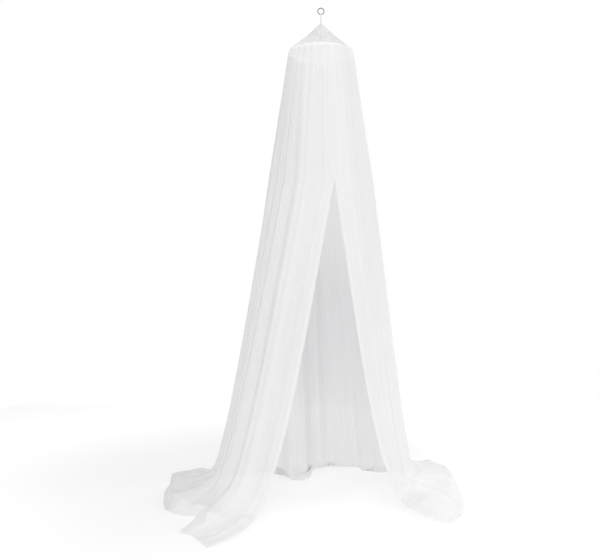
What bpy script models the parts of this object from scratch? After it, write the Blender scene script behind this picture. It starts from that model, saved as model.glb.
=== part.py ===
"""Mosquito net canopy: a sheer net gathered to a point, spread by a plastic hoop and hung from a steel ring.

Metres, +Z up. The origin is the point of the ring where the ceiling hook bears, so the floor lies
HOOK_HEIGHT below it. The front, with the slit to walk in through, looks along -Y.
"""

import math

import bmesh
import bpy
import numpy as np

# Heights above the floor.
RING_TOP_HEIGHT = 2.400
NECK_HEIGHT = 2.314
TAPE_END_HEIGHT = 2.288
HOOP_HEIGHT = 2.174
SLIT_TOP_HEIGHT = 1.520
LOWEST_CLOTH = 0.003

RING_OUTER_RADIUS = 0.0175
RING_WIRE = 0.004
HOOK_HEIGHT = RING_TOP_HEIGHT - RING_WIRE

HOOP_RADIUS = 0.154
HOOP_TUBE = 0.008
HOOP_CLEARANCE = 0.002

TAPE_WIDTH = 0.006
TAPE_THICKNESS = 0.001
TAPE_TAIL_GAP = 0.0008
PIECE_GAP = 0.0003

NET_THICKNESS = 0.0012
NECK_HALF_WIDTH = 0.0054
NECK_HALF_DEPTH = 0.0034
SHOULDER_RADIUS = 0.012
SHOULDER_DROP = 0.003
CROWN_SAG = 0.005

# The closed outline of the net at the top of the slit, an ellipse.
WAIST_HALF_WIDTH = 0.260
WAIST_HALF_DEPTH = 0.210

# Lines of the net from the slit's right edge, round the back, to its left edge.
# hoop: angle on the hoop in degrees, 0 at +X, 90 at the back.
# floor: where the line meets the floor. tip: where its hem lies on the floor.
# bow: how far the trailing stretch curves to the left of the straight way to its tip.
# flare: share of the outward run that comes low down. lift: how high the trailing cloth is heaped.
# turn: size of the curve from hanging to lying.
LINES = [
    # hoop, floor x,     y,  tip x,      y,    bow, flare, lift, turn
    (-77, 0.360, -0.330, 0.545, -0.520, -0.055, 0.28, 0.015, 0.070),
    (-52, 0.420, -0.270, 0.615, -0.400, -0.035, 0.22, 0.060, 0.130),
    (-22, 0.450, -0.130, 0.665, -0.220, -0.010, 0.17, 0.085, 0.170),
    (8, 0.455, 0.020, 0.680, -0.020, 0.000, 0.16, 0.085, 0.180),
    (32, 0.430, 0.130, 0.670, 0.200, 0.000, 0.10, 0.065, 0.180),
    (48, 0.360, 0.200, 0.530, 0.310, 0.000, 0.05, 0.040, 0.150),
    (60, 0.275, 0.265, 0.295, 0.310, 0.000, 0.02, 0.012, 0.025),
    (74, 0.200, 0.385, 0.206, 0.425, 0.000, 0.00, 0.004, 0.020),
    (90, 0.085, 0.390, 0.085, 0.430, 0.000, 0.00, 0.004, 0.020),
    (105, -0.015, 0.375, -0.022, 0.420, 0.000, 0.00, 0.004, 0.022),
    (118, -0.065, 0.260, -0.055, 0.220, 0.000, 0.02, 0.006, 0.020),
    (132, -0.140, 0.205, -0.125, 0.160, 0.000, 0.02, 0.010, 0.024),
    (147, -0.250, 0.240, -0.265, 0.280, 0.000, 0.04, 0.012, 0.022),
    (162, -0.400, 0.205, -0.680, 0.275, 0.000, 0.14, 0.006, 0.180),
    (177, -0.500, 0.110, -0.780, 0.310, 0.000, 0.16, 0.020, 0.180),
    (192, -0.540, 0.000, -0.765, 0.060, 0.000, 0.18, 0.005, 0.180),
    (205, -0.550, -0.100, -0.765, -0.070, 0.000, 0.18, 0.050, 0.170),
    (217, -0.540, -0.200, -0.700, -0.360, 0.000, 0.18, 0.035, 0.160),
    (230, -0.510, -0.300, -0.515, -0.465, 0.000, 0.18, 0.015, 0.130),
    (243, -0.450, -0.380, -0.600, -0.620, 0.025, 0.18, 0.030, 0.180),
    (262, -0.370, -0.440, -0.535, -0.685, 0.040, 0.19, 0.025, 0.140),
    (283, -0.290, -0.468, -0.467, -0.812, 0.050, 0.20, 0.010, 0.080),
]

# Folds that run down the net: waves around it, share of the full depth, phase in turns.
FOLDS = [
    (11, 0.55, 0.10),
    (17, 0.45, 0.62),
]
FOLD_DEPTH_AT_HOOP = 0.002
FOLD_DEPTH_AT_FLOOR = 0.018
FOLD_FADE = 0.035

COLUMNS_PER_LINE = 4
ROWS = {"shoulder": 1, "crown": 3, "hoop": 1, "upper": 4, "skirt": 7, "bend": 3, "trail": 4}
LONGEST_TURN = 0.8
FLARE_POWER = 6


def row_z(height):
    """Row frame Z of a height above the floor."""
    return height - HOOK_HEIGHT


def smooth_through(values, place):
    """Cubic curve through evenly spaced values, read at places from 0 to 1."""
    values = np.asarray(values, float)
    slopes = np.gradient(values)
    last = len(values) - 1
    spot = np.clip(place, 0, 1) * last
    left = np.minimum(spot.astype(int), last - 1)
    t = spot - left
    rise = values[left + 1] - values[left]
    ease = t * t * (3 - 2 * t)
    lean_in = t * (1 - t) ** 2
    lean_out = t * t * (t - 1)
    return values[left] + rise * ease + slopes[left] * lean_in + slopes[left + 1] * lean_out


def smoothstep(t):
    t = np.clip(t, 0, 1)
    return t * t * (3 - 2 * t)


def mixed(a, b, share):
    return a + (b - a) * share


def stages(v):
    """Progress from 0 to 1 through each stretch of ROWS, with v from 0 to 1 over them all."""
    row = v * sum(ROWS.values())
    done = 0
    for count in ROWS.values():
        yield np.clip((row - done) / count, 0, 1)
        done += count


def net_point(u, v):
    """Points of the net: u from 0 to 1 round it from slit edge to slit edge, v from 0 to 1 down it."""
    hoop, floor_x, floor_y, tip_x, tip_y, bow, flare, lift, turn = (
        smooth_through(column, u) for column in np.array(LINES).T
    )
    shoulder, crown, over_hoop, upper, skirt, bend, trail = stages(v)
    angle = np.radians(hoop)

    # A flat shoulder round the neck, a cone, and a turn of 45 degrees over the hoop's tube.
    wrap = HOOP_TUBE / 2 + HOOP_CLEARANCE + NET_THICKNESS / 2
    tilt = math.pi / 4 * (1 - over_hoop)
    ridge = HOOP_RADIUS + wrap * np.cos(tilt)
    reach_x = mixed(mixed(NECK_HALF_WIDTH, SHOULDER_RADIUS, shoulder), ridge, crown)
    reach_y = mixed(mixed(NECK_HALF_DEPTH, SHOULDER_RADIUS, shoulder), ridge, crown)
    height = mixed(NECK_HEIGHT - SHOULDER_DROP * shoulder, HOOP_HEIGHT + wrap * np.sin(tilt), crown)
    height = height - CROWN_SAG * 4 * crown * (1 - crown)

    # The upper skirt widens from the hoop to the waist, the lower one from the waist to the floor.
    reach_x = mixed(reach_x, WAIST_HALF_WIDTH, upper)
    reach_y = mixed(reach_y, WAIST_HALF_DEPTH, upper)
    height = mixed(height, SLIT_TOP_HEIGHT, upper)
    trail_length = np.hypot(tip_x - floor_x, tip_y - floor_y)
    bend_size = np.minimum(turn, trail_length * LONGEST_TURN)
    height = mixed(height, bend_size, skirt)
    fallen = np.where(skirt > 0, (SLIT_TOP_HEIGHT - height) / SLIT_TOP_HEIGHT, 0)
    out = (1 - flare) * fallen + flare * fallen**FLARE_POWER
    x = mixed(reach_x * np.cos(angle), floor_x, out)
    y = mixed(reach_y * np.sin(angle), floor_y, out)

    # The bend turns each line from hanging to lying, and the trail runs on to the hem's tip.
    bend_share = bend_size / trail_length
    lying = mixed(bend_share * (bend > 0), 1, trail)
    side = 4 * bow * lying * (1 - lying) / trail_length
    lying_x = mixed(floor_x, tip_x, lying) - side * (tip_y - floor_y)
    lying_y = mixed(floor_y, tip_y, lying) + side * (tip_x - floor_x)
    x = mixed(mixed(x, floor_x, bend), mixed(floor_x, lying_x, bend), bend)
    y = mixed(mixed(y, floor_y, bend), mixed(floor_y, lying_y, bend), bend)
    heap = lift * np.sin(math.pi * (0.15 + 0.85 * (bend + trail) / 2)) ** 2
    height = height * (1 - bend) ** 2 + heap * smoothstep(bend * 2)
    return x, y, height, bend, trail


def fold_wave(u):
    """Side to side place of the folds, from -1 to 1, still at both slit edges."""
    wave = sum(share * np.sin(2 * math.pi * (count * u + phase)) for count, share, phase in FOLDS)
    return wave * smoothstep(u / FOLD_FADE) * smoothstep((1 - u) / FOLD_FADE)


def net_surface(u, v):
    """Points of the folded net, as an array of x, y, z in the row frame."""
    step = 1e-3
    x, y, height, bend, trail = net_point(u, v)
    ahead_x, ahead_y = net_point(u + step, v)[:2]
    behind_x, behind_y = net_point(u - step, v)[:2]
    run = np.hypot(ahead_x - behind_x, ahead_y - behind_y) + 1e-9
    out_x = (ahead_y - behind_y) / run
    out_y = -(ahead_x - behind_x) / run
    below_hoop = np.clip((HOOP_HEIGHT - height) / HOOP_HEIGHT, 0, 1)
    depth = mixed(FOLD_DEPTH_AT_HOOP, FOLD_DEPTH_AT_FLOOR, below_hoop)
    hanging = smoothstep((HOOP_HEIGHT - height) / (HOOP_HEIGHT - SLIT_TOP_HEIGHT))
    shift = fold_wave(u) * depth * hanging
    x = x + out_x * shift * (1 - bend)
    y = y + out_y * shift * (1 - bend)
    ruffle = (1 + fold_wave(u)) * FOLD_DEPTH_AT_FLOOR * bend * (1 - 0.85 * trail)
    height = np.maximum(height, 0) + ruffle + LOWEST_CLOTH
    return np.column_stack([x, y, row_z(height)])


def material(name, colour, roughness, metallic=0.0):
    made = bpy.data.materials.new(name)
    made.use_nodes = True
    shader = made.node_tree.nodes["Principled BSDF"]
    shader.inputs["Base Color"].default_value = (*colour, 1.0)
    shader.inputs["Roughness"].default_value = roughness
    shader.inputs["Metallic"].default_value = metallic
    return made


def finish(piece, name, surface, collection):
    """Names the piece, gives it its material and smooth shading, and moves it to the collection."""
    piece.name = name
    piece.data.name = name
    piece.data.materials.append(surface)
    piece.data.shade_smooth()
    for other in list(piece.users_collection):
        other.objects.unlink(piece)
    collection.objects.link(piece)
    return piece


def grid_bent_to(columns, rows, surface_of):
    """A grid whose points are moved to surface_of(u, v), with u across its columns and v down its rows."""
    bpy.ops.mesh.primitive_grid_add(x_subdivisions=columns, y_subdivisions=rows, size=1)
    sheet = bpy.context.object
    flat = np.empty(len(sheet.data.vertices) * 3)
    sheet.data.vertices.foreach_get("co", flat)
    flat = flat.reshape(-1, 3)
    points = surface_of(flat[:, 0] + 0.5, 0.5 - flat[:, 1])
    sheet.data.vertices.foreach_set("co", points.ravel())
    return sheet


def thicken(sheet, thickness):
    solidify = sheet.modifiers.new("Solidify", "SOLIDIFY")
    solidify.thickness = thickness
    solidify.offset = 0


def add_net(collection):
    """The net: one cloth, closed above the slit by joining its first and last lines."""
    columns = COLUMNS_PER_LINE * (len(LINES) - 1)
    sheet = grid_bent_to(columns, sum(ROWS.values()), net_surface)
    mesh = bmesh.new()
    mesh.from_mesh(sheet.data)
    bmesh.ops.remove_doubles(mesh, verts=mesh.verts, dist=1e-5)
    mesh.to_mesh(sheet.data)
    mesh.free()
    thicken(sheet, NET_THICKNESS)
    return finish(sheet, "net", material("White net", (0.90, 0.90, 0.91), 0.9), collection)


def add_hoop(collection):
    bpy.ops.mesh.primitive_torus_add(
        location=(0, 0, row_z(HOOP_HEIGHT)),
        major_radius=HOOP_RADIUS,
        minor_radius=HOOP_TUBE / 2,
        major_segments=48,
        minor_segments=10,
    )
    return finish(bpy.context.object, "hoop", material("White plastic", (0.88, 0.88, 0.88), 0.4), collection)


def add_ring(collection):
    """The hanging ring, standing in the XZ plane."""
    bpy.ops.mesh.primitive_torus_add(
        location=(0, 0, row_z(RING_TOP_HEIGHT - RING_OUTER_RADIUS)),
        rotation=(math.pi / 2, 0, 0),
        major_radius=RING_OUTER_RADIUS - RING_WIRE / 2,
        minor_radius=RING_WIRE / 2,
        major_segments=36,
        minor_segments=10,
    )
    steel = material("Dark steel", (0.16, 0.16, 0.17), 0.4, 1.0)
    return finish(bpy.context.object, "hanging_ring", steel, collection)


def tape_surface(u, v):
    """The tape's strip: v runs up one tail, over the ring's lowest wire and down the other tail."""
    ring_radius = RING_OUTER_RADIUS - RING_WIRE / 2
    wire_height = RING_TOP_HEIGHT - RING_OUTER_RADIUS - ring_radius
    wire_rise = ring_radius - math.sqrt(ring_radius**2 - (TAPE_WIDTH / 2) ** 2)
    loop = RING_WIRE / 2 + wire_rise + PIECE_GAP + TAPE_THICKNESS / 2
    tail = (TAPE_TAIL_GAP + TAPE_THICKNESS) / 2
    tail_share = 0.3
    side = np.sign(v - 0.5)
    turn = np.clip((np.abs(v - 0.5) - (0.5 - tail_share)) / tail_share, 0, 1)
    over = np.clip(np.abs(v - 0.5) / (0.5 - tail_share), 0, 1) * math.pi / 2
    closing = smoothstep(turn * 5)
    y = np.where(turn > 0, mixed(loop, tail, closing), loop * np.sin(over)) * side
    height = np.where(turn > 0, mixed(wire_height, TAPE_END_HEIGHT, turn), wire_height + loop * np.cos(over))
    return np.column_stack([(u - 0.5) * TAPE_WIDTH, y, row_z(height)])


def add_tape(collection):
    sheet = grid_bent_to(2, 40, tape_surface)
    thicken(sheet, TAPE_THICKNESS)
    return finish(sheet, "hanging_tape", material("White tape", (0.85, 0.85, 0.85), 0.8), collection)


def main():
    for old in list(bpy.data.objects):
        bpy.data.objects.remove(old)
    canopy = bpy.data.collections.new("Mosquito net canopy")
    bpy.context.scene.collection.children.link(canopy)
    add_net(canopy)
    add_hoop(canopy)
    add_ring(canopy)
    add_tape(canopy)


main()
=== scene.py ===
"""Mosquito net canopy: the finished net, hoop, hanging tape and ring, in a plain white studio.

Metres, +Z up. The origin is the point of the ring where the ceiling hook bears, and the floor lies
HOOK_HEIGHT below it. The slit to walk in through looks along -Y.
"""

import math

import bpy
import numpy as np
from bpy.props import FloatProperty, FloatVectorProperty, IntProperty, PointerProperty
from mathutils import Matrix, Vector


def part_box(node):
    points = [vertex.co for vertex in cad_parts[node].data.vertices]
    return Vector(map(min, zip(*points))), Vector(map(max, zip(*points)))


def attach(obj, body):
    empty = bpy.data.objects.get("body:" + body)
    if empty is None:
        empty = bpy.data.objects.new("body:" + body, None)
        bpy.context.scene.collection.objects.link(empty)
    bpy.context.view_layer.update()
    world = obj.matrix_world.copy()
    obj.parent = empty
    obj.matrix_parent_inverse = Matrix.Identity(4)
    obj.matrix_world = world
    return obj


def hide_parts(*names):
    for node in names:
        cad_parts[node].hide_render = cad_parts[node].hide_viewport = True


bl_info = {
    "name": "Mosquito net canopy",
    "version": (1, 0, 0),
    "blender": (4, 5, 0),
    "location": "3D View > Sidebar > Canopy",
    "description": "Builds the finished pieces of a hanging mosquito net round its frame",
    "category": "Object",
}

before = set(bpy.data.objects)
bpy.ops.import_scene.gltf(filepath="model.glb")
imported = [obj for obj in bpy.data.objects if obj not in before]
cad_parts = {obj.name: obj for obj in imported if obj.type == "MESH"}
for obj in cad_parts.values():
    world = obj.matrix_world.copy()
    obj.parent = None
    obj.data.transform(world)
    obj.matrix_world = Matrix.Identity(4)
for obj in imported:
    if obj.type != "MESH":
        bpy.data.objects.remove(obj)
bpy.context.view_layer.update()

# Heights above the floor.
HOOK_HEIGHT = 2.396
NECK_HEIGHT = 2.314
TAPE_END_HEIGHT = 2.288
SLIT_TOP_HEIGHT = 1.520
# Least height of the folded cloth, and of any point once pleats and creases are on it.
LOWEST_CLOTH = 0.003
LOWEST_POINT = 0.0015

HOOP_TUBE = 0.008
HOOP_CLEARANCE = 0.002
NET_THICKNESS = 0.0012
NECK_HALF_WIDTH = 0.0054
NECK_HALF_DEPTH = 0.0034
SHOULDER_RADIUS = 0.012
SHOULDER_DROP = 0.003
# How far the cone between neck and hoop hangs below a straight line.
CROWN_SAG = 0.005

# The closed outline of the net at the top of the slit, an ellipse.
WAIST_HALF_WIDTH = 0.260
WAIST_HALF_DEPTH = 0.210

# Lines of the net from the slit's right edge, round the back, to its left edge.
# hoop: angle on the hoop in degrees, 0 at +X, 90 at the back.
# floor: where the line meets the floor. tip: where its hem lies on the floor.
# bow: how far the trailing stretch curves to the left of the straight way to its tip.
# flare: share of the outward run that comes low down. lift: how high the trailing cloth is heaped.
# turn: size of the curve from hanging to lying.
LINES = [
    # hoop, floor x,     y,  tip x,      y,    bow, flare, lift, turn
    (-77, 0.360, -0.330, 0.545, -0.520, -0.055, 0.28, 0.015, 0.070),
    (-52, 0.420, -0.270, 0.615, -0.400, -0.035, 0.22, 0.060, 0.130),
    (-22, 0.450, -0.130, 0.665, -0.220, -0.010, 0.17, 0.085, 0.170),
    (8, 0.455, 0.020, 0.680, -0.020, 0.000, 0.16, 0.085, 0.180),
    (32, 0.430, 0.130, 0.670, 0.200, 0.000, 0.10, 0.065, 0.180),
    (48, 0.360, 0.200, 0.530, 0.310, 0.000, 0.05, 0.040, 0.150),
    (60, 0.275, 0.265, 0.295, 0.310, 0.000, 0.02, 0.012, 0.025),
    (74, 0.200, 0.385, 0.206, 0.425, 0.000, 0.00, 0.004, 0.020),
    (90, 0.085, 0.390, 0.085, 0.430, 0.000, 0.00, 0.004, 0.020),
    (105, -0.015, 0.375, -0.022, 0.420, 0.000, 0.00, 0.004, 0.022),
    (118, -0.065, 0.260, -0.055, 0.220, 0.000, 0.02, 0.006, 0.020),
    (132, -0.140, 0.205, -0.125, 0.160, 0.000, 0.02, 0.010, 0.024),
    (147, -0.250, 0.240, -0.265, 0.280, 0.000, 0.04, 0.012, 0.022),
    (162, -0.400, 0.205, -0.680, 0.275, 0.000, 0.14, 0.006, 0.180),
    (177, -0.500, 0.110, -0.780, 0.310, 0.000, 0.16, 0.020, 0.180),
    (192, -0.540, 0.000, -0.765, 0.060, 0.000, 0.18, 0.005, 0.180),
    (205, -0.550, -0.100, -0.765, -0.070, 0.000, 0.18, 0.050, 0.170),
    (217, -0.540, -0.200, -0.700, -0.360, 0.000, 0.18, 0.035, 0.160),
    (230, -0.510, -0.300, -0.515, -0.465, 0.000, 0.18, 0.015, 0.130),
    (243, -0.450, -0.380, -0.600, -0.620, 0.025, 0.18, 0.030, 0.180),
    (262, -0.370, -0.440, -0.535, -0.685, 0.040, 0.19, 0.025, 0.140),
    (283, -0.290, -0.468, -0.467, -0.812, 0.050, 0.20, 0.010, 0.080),
]

# Main folds that run down the net: waves around it, share of the full depth, phase in turns.
FOLDS = [
    (11, 0.55, 0.10),
    (17, 0.45, 0.62),
]
FOLD_DEPTH_AT_HOOP = 0.002
FOLD_DEPTH_AT_FLOOR = 0.018
# Share of the way round over which the folds grow from nothing at each slit edge.
FOLD_FADE = 0.035
# Share of the folds' rise on the floor that is gone at the tips, where the cloth lies flat.
TIP_FLATNESS = 0.85

# Small pleats between them: waves around the net, slope of their sides, phase in turns,
# how many times they swell and fade on the way round, and how many times on the way down.
PLEATS = [
    (23, 0.20, 0.55, 3, 0.4),
    (31, 0.26, 0.13, 5, 0.6),
    (47, 0.26, 0.41, 8, 0.9),
    (64, 0.20, 0.77, 11, 1.3),
    (89, 0.14, 0.29, 14, 1.7),
]
# Share of the way round over which the pleats grow from nothing at each slit edge.
PLEAT_FADE = 0.008
# The pleats sway from side to side: share of the way round, sways round the net and down it.
PLEAT_SWAY = (0.0012, 3, 2.3)
# Share of a pleat's height that swells and fades.
PLEAT_SWELL = 0.45
# Share of the pleats that is left where a long trail lies down, and share of the bend that it takes.
PLEATS_KEPT_LYING = 0.65
PLEATS_KEPT_FROM = 2 / 3

# Layers of flat net in the gathered cloth: in the crown by the hoop and by the neck, just below the
# hoop, and in the skirt, which has them all from FULL_BELOW_HOOP under the hoop.
CROWN_FULLNESS = 0.5
NECK_FULLNESS = 1.7
HOOP_FULLNESS = 1.3
SKIRT_FULLNESS = 2.0
FULL_BELOW_HOOP = 0.5

# The net is pulled thin over the hoop's tube: share of its layers lost, the place of that above the
# hoop's centre line, and how far it reaches up and down from there.
TAUT_LOSS = 0.45
TAUT_ABOVE_HOOP = 0.002
TAUT_REACH = 0.009

# Places with more layers or fewer: angle on the hoop, its half width, height, its half height, layers.
GATHERS = [
    (2, 14, 2.26, 0.10, 0.9),  # fold down the crown's right side
    (90, 50, 0.72, 0.30, 2.6),  # heavy gathers low in the back
    (90, 50, 1.40, 0.22, -0.7),  # sheerer back above them
    (200, 60, 1.65, 0.35, -0.6),  # sheerer left side
    (0, 45, 1.40, 0.30, -0.6),  # sheerer right side
    (215, 45, 0.00, 0.12, 1.5),  # heaped cloth of the left trail
]
# Uneven gathers of the crown: waves round it, and waves up each metre, the share of the layers that
# they add or take, and where they start and are full, above the hoop's centre line.
MOTTLE = [(9, 14), (14, -23), (21, 31)]
MOTTLE_SHARE = 0.4
MOTTLE_FROM = -0.02
MOTTLE_FULL = 0.06

# Creases of the cloth on the floor: wavelength, direction in degrees, height, phase in turns.
CREASES = [
    (0.160, 20, 0.0040, 0.15),
    (0.115, 75, 0.0035, 0.60),
    (0.090, 130, 0.0026, 0.35),
    (0.060, 45, 0.0016, 0.85),
    (0.045, 160, 0.0011, 0.20),
]
# Share of the bend at which creases start, and share of their height that is lost at the tips.
CREASE_FROM = 0.3
TIP_CREASE_LOSS = 0.8

NET_COLUMNS = 480
# Least and most that the layers are multiplied by where columns stand close together or far apart.
SPACING_CHANGE = (0.75, 1.6)
NET_ROWS = {"shoulder": 4, "crown": 24, "hoop": 8, "upper": 44, "skirt": 70, "bend": 26, "trail": 32}
# Most of a trail's length that the curve from hanging to lying may take.
LONGEST_TURN = 0.8
# Power of the fall with which the skirt's low flare grows.
FLARE_POWER = 6
# Share of the heap's sine that is already behind the cloth when it starts to turn.
HEAP_START = 0.15
# Length of cloth past the hanging part at which pleats and creases are full, so that short hems stay
# smooth.
ROOM_TO_CREASE = 0.15

# The flat cloth, as it was cut.
NET_WIDTH = 5.2
# Width of the turned hem, and the place of its stitches as a share of that.
HEM_TURN = 0.018
STITCH_PLACE = 0.85
STITCH_HALF_WIDTH = 0.0012
# Share of a hem's holes that its extra layers close, share of the stitches that is thread, and the
# least and most cover of any patch.
HEM_CLOSES = 0.6
STITCH_COVER = 0.93
LEAST_COVER = 0.08
MOST_COVER = 0.97
# How much brighter rubbed steel is than black, and how bright the tape's yarn is between its ribs, where
# it is painted in shade.
RUBBED_BRIGHTER = 2.2
SHADED_YARN = 0.85

TUBE_SIDES = 24
RING_STEPS = 128
TAPE_ROWS = 160
TAPE_COLUMNS = 12
# Share of the tape's length in each hanging tail, clearance over the wire, and gap between the tails.
TAPE_TAIL_SHARE = 0.3
TAPE_CLEARANCE = 0.0003
TAPE_TAIL_GAP = 0.0008

# Lamps and camera: X, Y and height above the floor. The lamps are squares of LAMP_SIZE and face the
# canopy's axis at LAMP_TARGET_HEIGHT. The camera looks level along +Y, with its lens in millimetres.
LAMPS = {
    "front": (0.2, -3.4, 3.6),
    "top": (0.4, -0.6, 5.0),
    "left": (-3.0, -3.0, 2.2),
    "right": (3.2, -3.6, 1.6),
    "side": (3.4, -0.5, 2.2),
    "back": (2.6, 2.6, 2.6),
}
LAMP_SIZE = 2.2
LAMP_TARGET_HEIGHT = 1.1
CAMERA_PLACE = (-0.104, -3.667, 1.045)
CAMERA_LENS = 44.2
CAMERA_SENSOR = 36
# Distances from the canopy's axis between which the floor's glow grows.
GLOW_FROM = 0.9
GLOW_TO = 2.4


def linear(colour):
    """Linear red, green and blue of an sRGB hex colour."""
    parts = np.array([int(colour[place : place + 2], 16) for place in (1, 3, 5)]) / 255
    return tuple(np.where(parts <= 0.04045, parts / 12.92, ((parts + 0.055) / 1.055) ** 2.4))


def row_z(height):
    """Frame Z of a height above the floor."""
    return height - HOOK_HEIGHT


def smoothstep(t):
    """Three squares less two cubes of t, held between 0 and 1: it starts and ends level."""
    t = np.clip(t, 0, 1)
    return t * t * (3 - 2 * t)


def mixed(a, b, share):
    """The value a share of the way from a to b."""
    return a + (b - a) * share


def hoop_circle():
    """Height above the floor and radius of the hoop's centre line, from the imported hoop."""
    low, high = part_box("hoop")
    return (low.z + high.z) / 2 + HOOK_HEIGHT, (high.x - low.x - HOOP_TUBE) / 2


def smooth_through(values, place):
    """Curve through evenly spaced values, read at places from 0 to 1.

    Between two values it is the cubic that meets both, with half the difference of the neighbours on
    either side as its slope at each.
    """
    values = np.asarray(values, float)
    slopes = np.gradient(values)
    last = len(values) - 1
    spot = np.clip(place, 0, 1) * last
    left = np.minimum(spot.astype(int), last - 1)
    t = spot - left
    rise = values[left + 1] - values[left]
    lean_in = t * (1 - t) ** 2
    lean_out = t * t * (t - 1)
    return values[left] + rise * smoothstep(t) + slopes[left] * lean_in + slopes[left + 1] * lean_out


def row_after(stretch):
    """Number of the grid row at the lower end of a stretch of the net."""
    names = list(NET_ROWS)
    return sum(NET_ROWS[name] for name in names[: names.index(stretch) + 1])


def stages(v):
    """Progress from 0 to 1 through each stretch of NET_ROWS, with v from 0 to 1 over them all."""
    row = v * sum(NET_ROWS.values())
    done = 0
    for count in NET_ROWS.values():
        yield np.clip((row - done) / count, 0, 1)
        done += count


def net_lines(u, v):
    """Unfolded net: u from 0 to 1 round it from slit edge to slit edge, v from 0 to 1 down it.

    Each line leaves the neck and falls down the cone with the sag of a parabola. It turns over the
    hoop's tube along an eighth of a circle and widens evenly to the waist's ellipse. From there it
    runs to its place on the floor with a flare that grows as a power of the fall, turns to lie down
    along a quadratic curve, and trails to its tip on a parabola, over a heap that is a sine squared.
    """
    hoop, floor_x, floor_y, tip_x, tip_y, bow, flare, lift, turn = (
        smooth_through(column, u) for column in np.array(LINES).T
    )
    shoulder, crown, over_hoop, upper, skirt, bend, trail = stages(v)
    hoop_height, hoop_radius = hoop_circle()
    angle = np.radians(hoop)

    wrap = HOOP_TUBE / 2 + HOOP_CLEARANCE + NET_THICKNESS / 2
    tilt = math.pi / 4 * (1 - over_hoop)
    ridge = hoop_radius + wrap * np.cos(tilt)
    reach_x = mixed(mixed(NECK_HALF_WIDTH, SHOULDER_RADIUS, shoulder), ridge, crown)
    reach_y = mixed(mixed(NECK_HALF_DEPTH, SHOULDER_RADIUS, shoulder), ridge, crown)
    height = mixed(NECK_HEIGHT - SHOULDER_DROP * shoulder, hoop_height + wrap * np.sin(tilt), crown)
    height = height - CROWN_SAG * 4 * crown * (1 - crown)

    reach_x = mixed(reach_x, WAIST_HALF_WIDTH, upper)
    reach_y = mixed(reach_y, WAIST_HALF_DEPTH, upper)
    height = mixed(height, SLIT_TOP_HEIGHT, upper)
    trail_length = np.hypot(tip_x - floor_x, tip_y - floor_y)
    bend_size = np.minimum(turn, trail_length * LONGEST_TURN)
    height = mixed(height, bend_size, skirt)
    fallen = np.where(skirt > 0, (SLIT_TOP_HEIGHT - height) / SLIT_TOP_HEIGHT, 0)
    out = (1 - flare) * fallen + flare * fallen**FLARE_POWER
    x = mixed(reach_x * np.cos(angle), floor_x, out)
    y = mixed(reach_y * np.sin(angle), floor_y, out)

    bend_share = bend_size / trail_length
    lying = mixed(bend_share * (bend > 0), 1, trail)
    side = 4 * bow * lying * (1 - lying) / trail_length
    lying_x = mixed(floor_x, tip_x, lying) - side * (tip_y - floor_y)
    lying_y = mixed(floor_y, tip_y, lying) + side * (tip_x - floor_x)
    x = mixed(mixed(x, floor_x, bend), mixed(floor_x, lying_x, bend), bend)
    y = mixed(mixed(y, floor_y, bend), mixed(floor_y, lying_y, bend), bend)
    heap = lift * np.sin(math.pi * mixed(HEAP_START, 1, (bend + trail) / 2)) ** 2
    height = height * (1 - bend) ** 2 + heap * smoothstep(bend * 2)
    return x, y, height, bend, trail


def fold_wave(u):
    """Side to side place of the main folds, from -1 to 1: two sines, faded out at the slit edges."""
    wave = sum(share * np.sin(2 * math.pi * (count * u + phase)) for count, share, phase in FOLDS)
    return wave * smoothstep(u / FOLD_FADE) * smoothstep((1 - u) / FOLD_FADE)


def folded_net(u, v):
    """The net with its main folds, the share of the bend behind each point, and that of the trail.

    Where it hangs, a point moves level and square to the unfolded net, by the fold wave times a depth
    that grows evenly from hoop to floor. Where it lies, the wave lifts the cloth instead.
    """
    step = 1e-3
    x, y, height, bend, trail = net_lines(u, v)
    ahead_x, ahead_y = net_lines(u + step, v)[:2]
    behind_x, behind_y = net_lines(u - step, v)[:2]
    run = np.hypot(ahead_x - behind_x, ahead_y - behind_y) + 1e-9
    out_x = (ahead_y - behind_y) / run
    out_y = -(ahead_x - behind_x) / run
    hoop_height = hoop_circle()[0]
    below_hoop = np.clip((hoop_height - height) / hoop_height, 0, 1)
    depth = mixed(FOLD_DEPTH_AT_HOOP, FOLD_DEPTH_AT_FLOOR, below_hoop)
    hanging = smoothstep((hoop_height - height) / (hoop_height - SLIT_TOP_HEIGHT))
    shift = fold_wave(u) * depth * hanging * (1 - bend)
    ruffle = (1 + fold_wave(u)) * FOLD_DEPTH_AT_FLOOR * bend * (1 - TIP_FLATNESS * trail)
    height = np.maximum(height, 0) + ruffle + LOWEST_CLOTH
    return np.stack([x + out_x * shift, y + out_y * shift, row_z(height)], axis=-1), bend, trail


def outward(points):
    """Unit normals of a grid of points: the cross product of the steps down it and across it.

    They are on the side that faces away from the canopy's middle.
    """
    normal = np.cross(np.gradient(points, axis=0), np.gradient(points, axis=1))
    return normal / np.maximum(np.linalg.norm(normal, axis=-1, keepdims=True), 1e-12)


def lengths(points, axis):
    """Length along the grid's lines in one direction, from each line's first point."""
    steps = np.linalg.norm(np.diff(points, axis=axis), axis=-1)
    start = np.zeros_like(np.take(steps, [0], axis=axis))
    return np.concatenate([start, np.cumsum(steps, axis=axis)], axis=axis)


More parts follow.
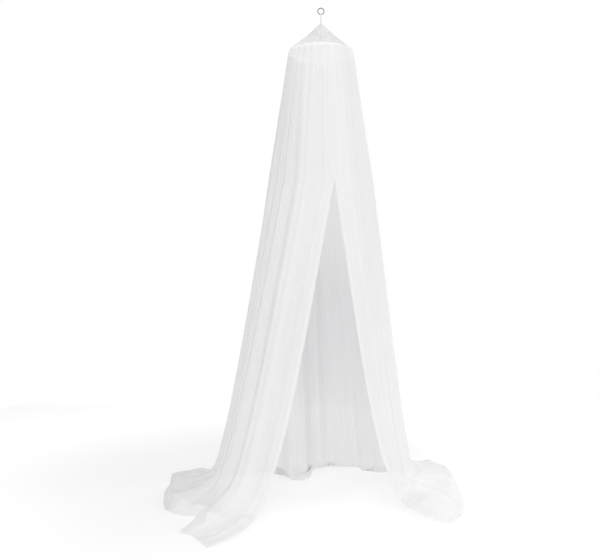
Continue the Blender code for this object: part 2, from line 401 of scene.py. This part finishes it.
def pleat_height(u, v, girth):
    """Small pleats: sines round the net whose height keeps their slope as the girth grows.

    Each sine's height is its slope times the girth over its count, and it swells and fades with a
    slower sine that winds down the net.
    """
    sway, sways_round, sways_down = PLEAT_SWAY
    bent = u + sway * np.sin(2 * math.pi * (sways_round * u + sways_down * v))
    height = 0
    for count, slope, phase, round_it, down_it in PLEATS:
        turns = round_it * u + down_it * v + 3 * phase
        swell = 1 - PLEAT_SWELL + PLEAT_SWELL * np.sin(2 * math.pi * turns)
        wave = np.sin(2 * math.pi * (count * bent + phase))
        height = height + slope * girth / (2 * math.pi * count) * swell * wave
    return height * smoothstep(u / PLEAT_FADE) * smoothstep((1 - u) / PLEAT_FADE)


def net_fullness(points, u, down, girth):
    """Layers of flat net that lie in each patch of the gathered net.

    In the crown it is the hoop's girth over the girth there, times a constant. Below the hoop it grows
    smoothly to that of the skirt. Bell curves over angle and height add the places of GATHERS, a
    narrow bell takes some away over the hoop's tube, and sines mottle the crown. Where the columns
    stand close together or far apart, it changes with their spacing.
    """
    height = points[..., 2] + HOOK_HEIGHT
    hoop_height = hoop_circle()[0]
    hoop_row = row_after("crown")
    crown = np.clip(CROWN_FULLNESS * girth[hoop_row] / girth, CROWN_FULLNESS, NECK_FULLNESS)
    below = smoothstep((hoop_height - height) / FULL_BELOW_HOOP)
    skirt = mixed(HOOP_FULLNESS, SKIRT_FULLNESS, below)
    fullness = np.where(down > down[hoop_row], skirt, crown)
    angle = smooth_through(np.array(LINES)[:, 0], u)
    for centre, half_angle, middle, half_height, extra in GATHERS:
        bell = np.exp(-(((angle - centre) / half_angle) ** 2) - ((height - middle) / half_height) ** 2)
        fullness = fullness + extra * bell
    above = height - hoop_height
    taut = np.exp(-(((above - TAUT_ABOVE_HOOP) / TAUT_REACH) ** 2))
    fullness = fullness * (1 - TAUT_LOSS * taut)
    waves = [np.sin(2 * math.pi * (count * u + turns * height)) for count, turns in MOTTLE]
    mottle = sum(waves) / len(MOTTLE)
    mottled = smoothstep((above - MOTTLE_FROM) / (MOTTLE_FULL - MOTTLE_FROM))
    fullness = fullness * (1 + MOTTLE_SHARE * mottle * mottled)
    spacing = np.linalg.norm(np.gradient(points, axis=1), axis=-1) * NET_COLUMNS / girth
    return fullness * np.clip(spacing, *SPACING_CHANGE)


def crease_height(points, lying):
    """Creases of cloth on the floor: crossing ridges, each one minus the size of a sine along its way."""
    height = 0
    for wavelength, degrees, depth, phase in CREASES:
        direction = math.radians(degrees)
        way = points[..., 0] * math.cos(direction) + points[..., 1] * math.sin(direction)
        height = height + depth * (1 - np.abs(np.sin(math.pi * (way / wavelength + phase))))
    return height * lying


def creased_net(u, v, pleats):
    """The folded net with pleats, and with creases where it lies, both raised along its normals.

    The pleats weaken smoothly where the cloth turns to lie down, and the creases grow there and fade
    with the fourth power of the way to the tip. Both shrink to nothing on a hem too short for them.
    """
    points, bend, trail = folded_net(u, v)
    girth = lengths(points, 1)[:, -1:]
    down = lengths(points, 0)
    room = smoothstep((down[-1:] - down[row_after("skirt")]) / ROOM_TO_CREASE)
    kept = 1 - smoothstep(bend / PLEATS_KEPT_FROM) * (1 - PLEATS_KEPT_LYING * room)
    lying = smoothstep((bend - CREASE_FROM) / (1 - CREASE_FROM)) * (1 - TIP_CREASE_LOSS * trail**4) * room
    depth = pleat_height(u, v, girth) * pleats * kept + crease_height(points, lying)
    points = points + outward(points) * depth[..., None]
    points[..., 2] = np.maximum(points[..., 2], row_z(LOWEST_POINT))
    return points, girth


def hem_places(points, down, closed):
    """Distance of each grid point to the nearest hem, and its place along that hem.

    The distances run along the grid's lines to the two slit edges and the lower edge. Rows above the
    slit have no side hems.
    """
    around = lengths(points, 1)
    to_side = np.minimum(around, around[:, -1:] - around)
    to_side[:closed] = np.inf
    to_bottom = down[-1:] - down
    return np.minimum(to_side, to_bottom), np.where(to_side < to_bottom, down, around)


def even_grid(rows, columns):
    """Two arrays of parameters from 0 to 1: u grows across the columns and v down the rows."""
    v, u = np.meshgrid(np.linspace(0, 1, rows), np.linspace(0, 1, columns), indexing="ij")
    return u, v


def grid_faces(rows, columns):
    """Corner numbers of a grid's quads, down first and then across, so that they face outwards."""
    first = np.arange(rows - 1)[:, None] * columns + np.arange(columns - 1)
    return np.stack([first, first + columns, first + columns + 1, first + 1], axis=-1).reshape(-1, 4)


def put_mesh(name, points, faces):
    """A smooth shaded object from points and faces, linked to the scene."""
    mesh = bpy.data.meshes.new(name)
    mesh.from_pydata(points.reshape(-1, 3).tolist(), [], faces.tolist())
    mesh.shade_smooth()
    piece = bpy.data.objects.new(name, mesh)
    bpy.context.scene.collection.objects.link(piece)
    return piece


def put_uv(piece, name, across, down, corners):
    """A UV map whose two values come from grid arrays, read at each face corner's grid place."""
    layer = piece.data.uv_layers.new(name=name)
    values = np.stack([across.ravel()[corners], down.ravel()[corners]], axis=-1)
    layer.data.foreach_set("uv", values.astype(np.float32).ravel())


def put_attribute(piece, name, values):
    """A number stored at each vertex, for its material to read."""
    layer = piece.data.attributes.new(name, "FLOAT", "POINT")
    layer.data.foreach_set("value", np.asarray(values, np.float32).ravel())


def ring_surface(radius, tube, turns):
    """Closed torus in the XY plane: a circle of half the tube carried round a circle of the radius."""
    round_it = np.linspace(0, 2 * math.pi, turns, endpoint=False)[:, None]
    about = np.linspace(0, 2 * math.pi, TUBE_SIDES, endpoint=False)[None, :]
    reach = radius + tube / 2 * np.cos(about)
    rise = tube / 2 * np.sin(about) * np.ones_like(round_it)
    points = np.stack([reach * np.cos(round_it), reach * np.sin(round_it), rise], axis=-1)
    here = np.arange(turns)[:, None] * TUBE_SIDES + np.arange(TUBE_SIDES)
    on = np.roll(here, -1, axis=0)
    faces = np.stack([here, on, np.roll(on, -1, axis=1), np.roll(here, -1, axis=1)], axis=-1)
    return points, faces.reshape(-1, 4)


def add_node(tree, kind, inputs=(), **settings):
    """Adds a node. Settings are its own options.

    Inputs go by socket name or, in a plain tuple, in the sockets' order. Each one takes a value, a
    socket, or a node, whose first output it then reads.
    """
    made = tree.nodes.new(kind)
    for option, value in settings.items():
        setattr(made, option, value)
    for socket, value in inputs.items() if isinstance(inputs, dict) else enumerate(inputs):
        if isinstance(value, bpy.types.Node):
            value = value.outputs[0]
        if isinstance(value, bpy.types.NodeSocket):
            tree.links.new(value, made.inputs[socket])
        else:
            made.inputs[socket].default_value = value
    return made


def new_material(name):
    """An empty node material and its output node."""
    made = bpy.data.materials.new(name)
    made.use_nodes = True
    made.node_tree.nodes.clear()
    return made, made.node_tree, made.node_tree.nodes.new("ShaderNodeOutputMaterial")


def net_material(settings):
    """Warp knitted polyester net, heat set and bleached: matt white yarn with open holes between.

    Each layer lets part of the light straight through its holes, and its yarn glows with the light
    from behind. The holes are about 2 mm, too fine for the picture, so they are drawn at twice that.
    """
    made, tree, output = new_material("Knitted polyester net")
    cloth = add_node(tree, "ShaderNodeUVMap", uv_map="cloth")
    edge = add_node(tree, "ShaderNodeUVMap", uv_map="edge")
    cover = add_node(tree, "ShaderNodeAttribute", attribute_name="cover").outputs["Fac"]

    # Holes: three cosines at 60 degrees to each other add up to a honeycomb, 3 in a hole's middle
    # and -1.5 on the yarn between. They stay faint, because in gathered net one layer's yarn lies
    # over another's holes.
    pitch = 2 * math.pi / (settings.hole_size * 2)
    honeycomb = 0.0
    for direction in (0, math.pi / 3, math.pi * 2 / 3):
        way = (pitch * math.cos(direction), pitch * math.sin(direction), 0)
        along = add_node(tree, "ShaderNodeVectorMath", (cloth, way), operation="DOT_PRODUCT")
        wave = add_node(tree, "ShaderNodeMath", (along.outputs["Value"],), operation="COSINE")
        honeycomb = add_node(tree, "ShaderNodeMath", (honeycomb, wave), operation="ADD")
    yarn = add_node(
        tree, "ShaderNodeMapRange", (honeycomb, 1.2, -0.6, -0.04, 0.03), interpolation_type="SMOOTHSTEP"
    )

    # Streaks: fine pleats that the mesh is too coarse for, about 45 mm of flat cloth across and 3 m
    # down it, with finer ones between.
    long_way = add_node(tree, "ShaderNodeMapping", {"Vector": cloth, "Scale": (22.0, 0.35, 1.0)})
    streak_look = {"Vector": long_way, "Scale": 1.0, "Detail": 2.5, "Roughness": 0.6}
    streak = add_node(tree, "ShaderNodeTexNoise", streak_look).outputs["Fac"]
    streaks = add_node(
        tree, "ShaderNodeMapRange", (streak, 0.25, 0.75, -0.04, 0.04), interpolation_type="SMOOTHSTEP"
    )

    # Hems are turned over twice and stitched, so more layers of net close most of their holes, and
    # the row of stitches closes nearly all.
    distance = add_node(tree, "ShaderNodeSeparateXYZ", (edge,)).outputs["X"]
    stitches = HEM_TURN * STITCH_PLACE
    hem = add_node(
        tree, "ShaderNodeMapRange", (distance, HEM_TURN, stitches), interpolation_type="SMOOTHSTEP"
    )
    thread = add_node(tree, "ShaderNodeMath", (distance, stitches, STITCH_HALF_WIDTH), operation="COMPARE")
    patterned = add_node(tree, "ShaderNodeMath", (cover, yarn), operation="ADD")
    body = add_node(tree, "ShaderNodeMath", (patterned, streaks), operation="ADD")
    body_open = add_node(tree, "ShaderNodeMath", (1.0, body), operation="SUBTRACT")
    hem_closed = add_node(tree, "ShaderNodeMath", (hem, HEM_CLOSES), operation="MULTIPLY")
    hem_open = add_node(tree, "ShaderNodeMath", (1.0, hem_closed), operation="SUBTRACT")
    all_open = add_node(tree, "ShaderNodeMath", (body_open, hem_open), operation="MULTIPLY")
    hemmed = add_node(tree, "ShaderNodeMath", (1.0, all_open), operation="SUBTRACT")
    stitched = add_node(tree, "ShaderNodeMath", (thread, STITCH_COVER), operation="MULTIPLY")
    closed = add_node(tree, "ShaderNodeMath", (hemmed, stitched), operation="MAXIMUM")
    fill = add_node(tree, "ShaderNodeClamp", {"Value": closed, "Min": LEAST_COVER, "Max": MOST_COVER})

    crinkle = add_node(tree, "ShaderNodeBump", {"Height": streak, "Strength": 0.15, "Distance": 0.006})
    colour = (*settings.yarn_colour, 1.0)
    face_look = {
        "Base Color": colour,
        "Roughness": 0.85,
        "Specular IOR Level": 0.25,
        "Sheen Weight": 0.15,
        "Sheen Roughness": 0.5,
        "Normal": crinkle,
    }
    face = add_node(tree, "ShaderNodeBsdfPrincipled", face_look)
    glow = add_node(tree, "ShaderNodeBsdfTranslucent", {"Color": colour, "Normal": crinkle})
    yarns = add_node(tree, "ShaderNodeMixShader", (settings.glow, face, glow))
    holes = add_node(tree, "ShaderNodeBsdfTransparent")
    net = add_node(tree, "ShaderNodeMixShader", (fill, holes, yarns))
    tree.links.new(net.outputs[0], output.inputs["Surface"])
    return made


def hoop_material(settings):
    """Extruded polyethylene tube: white and softly glossy, with a faint waviness from cooling.

    The waves are about 11 mm long. Its weak glow is painted light: the tube glows though it is no lamp,
    so that it shows brighter than lit white plastic, as a bright line through the net.
    """
    made, tree, output = new_material("Extruded polyethylene")
    place = add_node(tree, "ShaderNodeTexCoord").outputs["Object"]
    wave = add_node(tree, "ShaderNodeTexNoise", {"Vector": place, "Scale": 90.0, "Detail": 2.0})
    wave = wave.outputs["Fac"]
    dent = add_node(tree, "ShaderNodeBump", {"Height": wave, "Strength": 0.08, "Distance": 0.002})
    rough = add_node(
        tree, "ShaderNodeMapRange", (wave, 0.3, 0.7, 0.32, 0.44), interpolation_type="SMOOTHSTEP"
    )
    look = {
        "Base Color": (*settings.colour, 1.0),
        "Roughness": rough,
        "IOR": 1.51,
        # Painted light: this emission makes the tube glow though it is no lamp.
        "Emission Color": (1.0, 1.0, 1.0, 1.0),
        "Emission Strength": settings.glow,
        "Normal": dent,
    }
    shell = add_node(tree, "ShaderNodeBsdfPrincipled", look)
    tree.links.new(shell.outputs[0], output.inputs["Surface"])
    return made


def ring_material(settings):
    """Drawn steel wire, blackened: dark grey with a dull shine.

    It has a fine grain of about 1 mm, and patches of about 8 mm where the black is rubbed lighter.
    """
    made, tree, output = new_material("Blackened drawn steel")
    place = add_node(tree, "ShaderNodeTexCoord").outputs["Object"]
    grain = add_node(tree, "ShaderNodeTexNoise", {"Vector": place, "Scale": 900.0, "Detail": 3.0})
    worn = add_node(tree, "ShaderNodeTexNoise", {"Vector": place, "Scale": 120.0, "Detail": 2.0})
    worn = worn.outputs["Fac"]
    dark = (*settings.colour, 1.0)
    light = (*(part * RUBBED_BRIGHTER for part in settings.colour), 1.0)
    rubbed = add_node(tree, "ShaderNodeMapRange", (worn, 0.45, 0.75), interpolation_type="SMOOTHSTEP")
    colour = add_node(tree, "ShaderNodeMix", {"Factor": rubbed, "A": dark, "B": light}, data_type="RGBA")
    ridges = {"Height": grain.outputs["Fac"], "Strength": 0.15, "Distance": 0.0004}
    bump = add_node(tree, "ShaderNodeBump", ridges)
    rough = add_node(
        tree, "ShaderNodeMapRange", (worn, 0.3, 0.7, 0.45, 0.32), interpolation_type="SMOOTHSTEP"
    )
    look = {"Base Color": colour.outputs["Result"], "Metallic": 1.0, "Roughness": rough, "Normal": bump}
    steel = add_node(tree, "ShaderNodeBsdfPrincipled", look)
    tree.links.new(steel.outputs[0], output.inputs["Surface"])
    return made


def tape_material(settings):
    """Woven polyester tape, bleached: white and matt, with ribs 1 mm wide crossed by its weft.

    A wave texture repeats every tenth of pi over its scale: every 2 mm for the ribs, and every 1.3 mm
    for the weft, which is drawn coarser than it is.
    """
    made, tree, output = new_material("Woven polyester tape")
    cloth = add_node(tree, "ShaderNodeUVMap", uv_map="cloth")
    rib = add_node(tree, "ShaderNodeTexWave", {"Vector": cloth, "Scale": 160.0, "Distortion": 0.6})
    weft = add_node(tree, "ShaderNodeTexWave", {"Vector": cloth, "Scale": 240.0}, bands_direction="Y")
    crossed = (rib.outputs["Fac"], weft.outputs["Fac"])
    weave = add_node(tree, "ShaderNodeMath", crossed, operation="MULTIPLY")
    bump = add_node(tree, "ShaderNodeBump", {"Height": weave, "Strength": 0.5, "Distance": 0.0004})
    light = (*settings.colour, 1.0)
    # Painted shade: the yarn between the ribs is darker, as if the weave's hollows were in shade.
    shade = (*(part * SHADED_YARN for part in settings.colour), 1.0)
    colour = add_node(tree, "ShaderNodeMix", {"Factor": weave, "A": shade, "B": light}, data_type="RGBA")
    look = {"Base Color": colour.outputs["Result"], "Roughness": 0.8, "Sheen Weight": 0.2, "Normal": bump}
    yarn = add_node(tree, "ShaderNodeBsdfPrincipled", look)
    tree.links.new(yarn.outputs[0], output.inputs["Surface"])
    return made


def floor_material(settings):
    """Milky acrylic sheet lit from below, as on a product table, so that shadows stay faint.

    The glow grows away from the middle, where the lamps above no longer reach.
    """
    made, tree, output = new_material("Lit white acrylic")
    place = add_node(tree, "ShaderNodeTexCoord").outputs["Object"]
    flat = add_node(tree, "ShaderNodeVectorMath", (place, (1.0, 1.0, 0.0)), operation="MULTIPLY")
    away = add_node(tree, "ShaderNodeVectorMath", (flat,), operation="LENGTH").outputs["Value"]
    steps = (away, GLOW_FROM, GLOW_TO, settings.floor_glow, settings.edge_glow)
    glow = add_node(tree, "ShaderNodeMapRange", steps, interpolation_type="SMOOTHSTEP")
    top = add_node(tree, "ShaderNodeBsdfDiffuse", {"Color": (0.6, 0.6, 0.6, 1.0)})
    lit = add_node(tree, "ShaderNodeEmission", {"Color": (1.0, 1.0, 1.0, 1.0), "Strength": glow})
    both = add_node(tree, "ShaderNodeAddShader", (top, lit))
    tree.links.new(both.outputs[0], output.inputs["Surface"])
    return made


class StageSettings(bpy.types.PropertyGroup):
    """The studio's floor and lights."""

    floor_size: FloatProperty(name="Floor", description="Side of the floor", default=5.0, unit="LENGTH")
    floor_glow: FloatProperty(
        name="Floor glow", description="Light that the floor gives under the canopy", default=0.46
    )
    edge_glow: FloatProperty(
        name="Edge glow", description="Light that the floor gives far from the canopy", default=0.64
    )
    front: FloatProperty(
        name="Front light", description="Power of the high light in front", default=48.0, unit="POWER"
    )
    top: FloatProperty(
        name="Top light", description="Power of the light overhead", default=20.0, unit="POWER"
    )
    left: FloatProperty(
        name="Left light", description="Power of the light on the left", default=46.0, unit="POWER"
    )
    right: FloatProperty(
        name="Right light", description="Power of the light on the right", default=33.0, unit="POWER"
    )
    side: FloatProperty(
        name="Side light", description="Power of the light from the side", default=28.0, unit="POWER"
    )
    back: FloatProperty(
        name="Back light", description="Power of the light behind", default=50.0, unit="POWER"
    )
    ambient: FloatProperty(
        name="Ambient", description="Brightness of the room's own light", default=0.35
    )


class NetSettings(bpy.types.PropertyGroup):
    """The net's size of hole, sheerness, pleats and colour."""

    hole_size: FloatProperty(
        name="Hole", description="Width of a hole in the net", default=0.002, unit="LENGTH"
    )
    cover: FloatProperty(
        name="Yarn cover", description="Share of flat net that is yarn", default=0.55, subtype="FACTOR"
    )
    glow: FloatProperty(
        name="Glow", description="Share of light that yarn passes on", default=0.20, subtype="FACTOR"
    )
    pleats: FloatProperty(
        name="Pleats", description="Depth of the small pleats", default=0.75, subtype="FACTOR"
    )
    yarn_colour: FloatVectorProperty(
        name="Yarn", description="Colour of the yarn", default=linear("#F2F2F3"), subtype="COLOR"
    )


class HoopSettings(bpy.types.PropertyGroup):
    """The hoop's roundness, painted glow and colour."""

    turns: IntProperty(name="Steps", description="Steps round the hoop", default=256)
    # Painted light: this glow is the tube's emission, so that it shines though it is no lamp.
    glow: FloatProperty(
        name="Glow", description="Light that scatters through the milky plastic", default=0.28
    )
    colour: FloatVectorProperty(
        name="Colour", description="Colour of the tube", default=linear("#F5F5F3"), subtype="COLOR"
    )


class RingSettings(bpy.types.PropertyGroup):
    """The hanging ring's wire and colour."""

    wire: FloatProperty(name="Wire", description="Thickness of the wire", default=0.004, unit="LENGTH")
    colour: FloatVectorProperty(
        name="Colour", description="Colour of the steel", default=linear("#5A5A5C"), subtype="COLOR"
    )


class TapeSettings(bpy.types.PropertyGroup):
    """The hanging tape's width, thickness and colour."""

    width: FloatProperty(name="Width", description="Width of the tape", default=0.006, unit="LENGTH")
    thickness: FloatProperty(
        name="Thickness", description="Thickness of the tape", default=0.001, unit="LENGTH"
    )
    colour: FloatVectorProperty(
        name="Colour", description="Colour of the tape", default=linear("#EDEDEB"), subtype="COLOR"
    )


def add_area_light(name, power, place):
    """A square area light at a place, turned to face the canopy's axis at LAMP_TARGET_HEIGHT."""
    data = bpy.data.lights.new(name, "AREA")
    data.energy = power
    data.size = LAMP_SIZE
    light = bpy.data.objects.new(name, data)
    x, y, height = place
    light.location = (x, y, row_z(height))
    rise = math.atan2(LAMP_TARGET_HEIGHT - height, math.hypot(x, y))
    light.rotation_euler = (math.pi / 2 + rise, 0, math.atan2(x, -y))
    bpy.context.scene.collection.objects.link(light)


class CANOPY_OT_stage(bpy.types.Operator):
    """Builds the floor, the room's light, the lamps and the camera"""

    bl_idname = "canopy.stage"
    bl_label = "Build stage"

    def execute(self, context):
        settings = context.scene.canopy_stage
        half = settings.floor_size / 2
        z = row_z(0)
        corners = np.array([(-half, -half, z), (-half, half, z), (half, half, z), (half, -half, z)])
        floor = put_mesh("studio_floor", corners, np.array([(3, 2, 1, 0)]))
        floor.data.materials.append(floor_material(settings))

        world = bpy.data.worlds.new("White studio")
        context.scene.world = world
        world.use_nodes = True
        tree = world.node_tree
        tree.nodes.clear()
        seen = add_node(tree, "ShaderNodeLightPath").outputs["Is Camera Ray"]
        cool_white = {"Color": (0.995, 0.995, 1.0, 1.0), "Strength": settings.ambient}
        room = add_node(tree, "ShaderNodeBackground", cool_white)
        pure_white = {"Color": (1.0, 1.0, 1.0, 1.0), "Strength": 1.0}
        backdrop = add_node(tree, "ShaderNodeBackground", pure_white)
        both = add_node(tree, "ShaderNodeMixShader", (seen, room, backdrop))
        add_node(tree, "ShaderNodeOutputWorld", {"Surface": both})

        for name, place in LAMPS.items():
            add_area_light(f"{name}_light", getattr(settings, name), place)

        camera = bpy.data.objects.new("camera", bpy.data.cameras.new("camera"))
        x, y, height = CAMERA_PLACE
        camera.location = (x, y, row_z(height))
        camera.rotation_euler = (math.pi / 2, 0, 0)
        camera.data.lens = CAMERA_LENS
        camera.data.sensor_width = CAMERA_SENSOR
        context.scene.collection.objects.link(camera)
        context.scene.camera = camera
        context.scene.view_settings.view_transform = "Standard"
        # A line of sight may pass this many layers of net before it goes black.
        context.scene.cycles.transparent_max_bounces = 32
        return {"FINISHED"}


class CANOPY_OT_net(bpy.types.Operator):
    """Builds the net with its pleats, hems and the cloth that trails on the floor"""

    bl_idname = "canopy.net"
    bl_label = "Build net"

    def execute(self, context):
        settings = context.scene.canopy_net
        rows = row_after("trail") + 1
        columns = NET_COLUMNS + 1
        u, v = even_grid(rows, columns)
        points, girth = creased_net(u, v, settings.pleats)

        # Above the slit the last column is the first one.
        closed = row_after("upper") + 1
        points[:closed, -1] = points[:closed, 0]
        numbers = np.arange(rows * columns).reshape(rows, columns)
        numbers[:closed, -1] = numbers[:closed, 0]
        corners = grid_faces(rows, columns)
        kept = np.unique(numbers)
        faces = np.searchsorted(kept, numbers.ravel()[corners])
        net = put_mesh("canopy_net", points.reshape(-1, 3)[kept], faces)

        down = lengths(points, 0)
        put_uv(net, "cloth", u * NET_WIDTH, down, corners.ravel())
        put_uv(net, "edge", *hem_places(points, down, closed), corners.ravel())

        cover = 1 - (1 - settings.cover) ** net_fullness(points, u, down, girth)
        put_attribute(net, "cover", cover.ravel()[kept])

        net.data.materials.append(net_material(settings))
        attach(net, "root")
        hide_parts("net")
        return {"FINISHED"}


class CANOPY_OT_hoop(bpy.types.Operator):
    """Builds the plastic hoop that spreads the net"""

    bl_idname = "canopy.hoop"
    bl_label = "Build hoop"

    def execute(self, context):
        settings = context.scene.canopy_hoop
        height, radius = hoop_circle()
        points, faces = ring_surface(radius, HOOP_TUBE, settings.turns)
        hoop = put_mesh("hoop_tube", points + (0, 0, row_z(height)), faces)
        hoop.data.materials.append(hoop_material(settings))
        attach(hoop, "root")
        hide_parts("hoop")
        return {"FINISHED"}


class CANOPY_OT_ring(bpy.types.Operator):
    """Builds the steel ring that goes on the ceiling hook"""

    bl_idname = "canopy.ring"
    bl_label = "Build hanging ring"

    def execute(self, context):
        settings = context.scene.canopy_ring
        low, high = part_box("hanging_ring")
        radius = (high.x - low.x - settings.wire) / 2
        points, faces = ring_surface(radius, settings.wire, RING_STEPS)
        upright = np.stack([points[..., 0], -points[..., 2], points[..., 1]], axis=-1)
        ring = put_mesh("ring_wire", upright + (0, 0, (low.z + high.z) / 2), faces)
        ring.data.materials.append(ring_material(settings))
        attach(ring, "root")
        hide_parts("hanging_ring")
        return {"FINISHED"}


def tape_strip(u, v, width, thickness, wire):
    """Middle surface of the tape: v runs up one tail, over the ring's lowest wire and down the other.

    Over the wire it is a half circle that clears the wire's bend at the tape's edges. The tails draw
    together below it by a smooth step, and hang straight down from there.
    """
    low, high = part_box("hanging_ring")
    ring_radius = (high.x - low.x - wire) / 2
    wire_z = low.z + wire / 2
    wire_rise = ring_radius - math.sqrt(ring_radius**2 - (width / 2) ** 2)
    loop = wire / 2 + wire_rise + TAPE_CLEARANCE + thickness / 2
    tail = (TAPE_TAIL_GAP + thickness) / 2
    loop_share = 0.5 - TAPE_TAIL_SHARE
    from_top = np.abs(v - 0.5)
    hanging = np.clip((from_top - loop_share) / TAPE_TAIL_SHARE, 0, 1)
    over = np.clip(from_top / loop_share, 0, 1) * math.pi / 2
    y = np.where(hanging > 0, mixed(loop, tail, smoothstep(hanging * 5)), loop * np.sin(over))
    bottom = row_z(TAPE_END_HEIGHT)
    z = np.where(hanging > 0, mixed(wire_z, bottom, hanging), wire_z + loop * np.cos(over))
    return np.stack([(u - 0.5) * width, y * np.sign(v - 0.5), z], axis=-1)


class CANOPY_OT_tape(bpy.types.Operator):
    """Builds the tape between the ring and the net's neck"""

    bl_idname = "canopy.tape"
    bl_label = "Build hanging tape"

    def execute(self, context):
        settings = context.scene.canopy_tape
        wire = context.scene.canopy_ring.wire
        u, v = even_grid(TAPE_ROWS + 1, TAPE_COLUMNS + 1)
        points = tape_strip(u, v, settings.width, settings.thickness, wire)
        corners = grid_faces(TAPE_ROWS + 1, TAPE_COLUMNS + 1)
        tape = put_mesh("tape_strip", points, corners)
        put_uv(tape, "cloth", u * settings.width, lengths(points, 0), corners.ravel())
        solidify = tape.modifiers.new("Thickness", "SOLIDIFY")
        solidify.thickness = settings.thickness
        solidify.offset = 0
        tape.data.materials.append(tape_material(settings))
        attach(tape, "root")
        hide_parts("hanging_tape")
        return {"FINISHED"}


OPERATORS = [CANOPY_OT_stage, CANOPY_OT_net, CANOPY_OT_hoop, CANOPY_OT_ring, CANOPY_OT_tape]


class CANOPY_PT_pieces(bpy.types.Panel):
    """Lists the pieces of the canopy in the sidebar"""

    bl_idname = "CANOPY_PT_pieces"
    bl_label = "Mosquito net canopy"
    bl_space_type = "VIEW_3D"
    bl_region_type = "UI"
    bl_category = "Canopy"

    def draw(self, context):
        for operator in OPERATORS:
            self.layout.operator(operator.bl_idname)


SETTINGS = {
    "canopy_stage": StageSettings,
    "canopy_net": NetSettings,
    "canopy_hoop": HoopSettings,
    "canopy_ring": RingSettings,
    "canopy_tape": TapeSettings,
}


def register():
    """Registers every class and hangs each group of settings on the scene."""
    for made in (*SETTINGS.values(), *OPERATORS, CANOPY_PT_pieces):
        bpy.utils.register_class(made)
    for name, group in SETTINGS.items():
        setattr(bpy.types.Scene, name, PointerProperty(type=group))


def unregister():
    """Takes the settings off the scene and the classes out of Blender."""
    for name in SETTINGS:
        delattr(bpy.types.Scene, name)
    for made in (CANOPY_PT_pieces, *reversed(OPERATORS), *SETTINGS.values()):
        bpy.utils.unregister_class(made)


def main():
    register()
    bpy.ops.canopy.stage()
    bpy.ops.canopy.hoop()
    bpy.ops.canopy.ring()
    bpy.ops.canopy.tape()
    bpy.ops.canopy.net()


if __name__ == "__main__":
    main()
